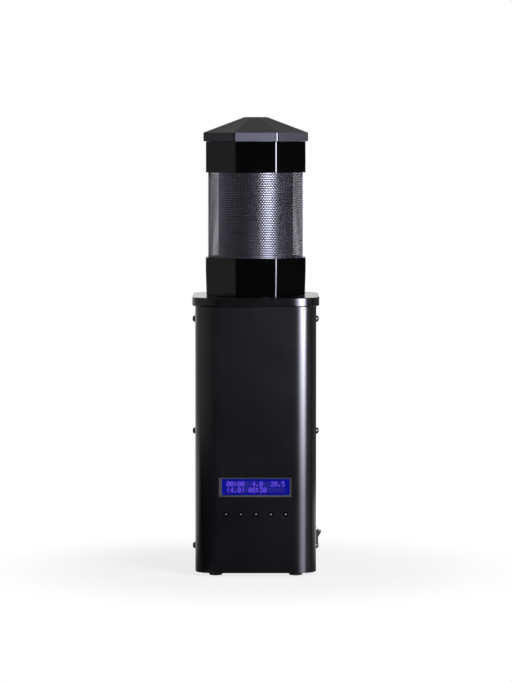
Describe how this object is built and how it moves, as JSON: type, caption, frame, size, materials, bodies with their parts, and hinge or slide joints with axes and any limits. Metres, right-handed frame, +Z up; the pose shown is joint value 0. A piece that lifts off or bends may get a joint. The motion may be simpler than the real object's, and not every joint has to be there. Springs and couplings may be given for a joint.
{
  "type": "benchtop coffee roaster",
  "caption": "Tower-shaped hot-air coffee roaster with a lift-off octagonal chaff collector, character display, push buttons and power rocker.",
  "frame": {"origin": "on the table, under the middle of the four feet", "axes": "+Z up, -Y towards the front with the display, +X towards the side with the power rocker"},
  "size_m": [0.1273, 0.124, 0.4464],
  "materials": {
    "black_paint": "satin black powder coat",
    "collector_plastic": "smooth satin black",
    "mesh_steel": "dark coated woven wire",
    "screw_black": "black oxide",
    "tray_steel": "zinc plated sheet",
    "foot_rubber": "matt",
    "chamber_steel": "drawn stainless",
    "probe_brass": "machined",
    "seal_silicone": "matt silicone",
    "former_mica": "mica board",
    "coil_wire": "oxidised resistance wire",
    "duct_plastic": "glass-filled nylon",
    "motor_steel": "plated",
    "bezel_metal": "black anodised frame",
    "lit_panel": "backlit blue",
    "circuit_board": "solder mask",
    "button_plastic": "moulded",
    "switch_plastic": "moulded"
  },
  "bodies": {
    "housing": {"base_tray": "tray_steel", "foot_front_left": "foot_rubber", "foot_front_right": "foot_rubber", "foot_rear_left": "foot_rubber", "foot_rear_right": "foot_rubber", "front_shell": "black_paint", "rear_shell": "black_paint", "top_plate": "black_paint", "side_screw_left_bottom": "screw_black", "side_screw_left_middle": "screw_black", "side_screw_left_top": "screw_black", "side_screw_right_bottom": "screw_black", "side_screw_right_middle": "screw_black", "side_screw_right_top": "screw_black", "roast_chamber": "chamber_steel", "air_plate": "chamber_steel", "temperature_probe": "probe_brass", "chamber_seal": "seal_silicone", "heater_housing": "chamber_steel", "heater_former": "former_mica", "heater_coil": "coil_wire", "fan_duct": "duct_plastic", "fan_motor": "motor_steel", "display_bezel": "bezel_metal", "display_panel": "lit_panel", "display_board": "circuit_board", "button_board": "circuit_board", "control_board": "circuit_board", "switch_housing": "switch_plastic", "mains_inlet": "switch_plastic"},
    "chaff_collector": {"collector_cup": "collector_plastic", "mesh_sleeve": "mesh_steel", "chaff_screen": "mesh_steel", "collector_ring": "collector_plastic"},
    "cap": {"collector_cap": "collector_plastic"},
    "push_button_1": {"button_1": "button_plastic"},
    "push_button_2": {"button_2": "button_plastic"},
    "push_button_3": {"button_3": "button_plastic"},
    "push_button_4": {"button_4": "button_plastic"},
    "push_button_5": {"button_5": "button_plastic"},
    "rocker": {"power_rocker": "switch_plastic"},
    "fan_rotor": {"fan_shaft": "motor_steel", "fan_impeller": "duct_plastic"}
  },
  "joints": [
    {"name": "collector_lift", "type": "slide", "parent": "housing", "child": "chaff_collector", "axis": [0, 0, 1], "range_m": [0, 0.12]},
    {"name": "cap_lift", "type": "slide", "parent": "chaff_collector", "child": "cap", "axis": [0, 0, 1], "range_m": [0, 0.05]},
    {"name": "button_1_press", "type": "slide", "parent": "housing", "child": "push_button_1", "axis": [0, 1, 0], "range_m": [0, 0.0008], "stiffness_N_per_m": 800, "springref_m": -0.0004},
    {"name": "button_2_press", "type": "slide", "parent": "housing", "child": "push_button_2", "axis": [0, 1, 0], "range_m": [0, 0.0008], "stiffness_N_per_m": 800, "springref_m": -0.0004},
    {"name": "button_3_press", "type": "slide", "parent": "housing", "child": "push_button_3", "axis": [0, 1, 0], "range_m": [0, 0.0008], "stiffness_N_per_m": 800, "springref_m": -0.0004},
    {"name": "button_4_press", "type": "slide", "parent": "housing", "child": "push_button_4", "axis": [0, 1, 0], "range_m": [0, 0.0008], "stiffness_N_per_m": 800, "springref_m": -0.0004},
    {"name": "button_5_press", "type": "slide", "parent": "housing", "child": "push_button_5", "axis": [0, 1, 0], "range_m": [0, 0.0008], "stiffness_N_per_m": 800, "springref_m": -0.0004},
    {"name": "rocker_tip", "type": "hinge", "parent": "housing", "child": "rocker", "pos_m": [0.0582, 0.02, 0.0311], "axis": [0, 1, 0], "range_deg": [-30, 0]},
    {"name": "fan_spin", "type": "hinge", "parent": "housing", "child": "fan_rotor", "pos_m": [0, 0, 0.0333], "axis": [0, 0, 1], "continuous": true}
  ]
}
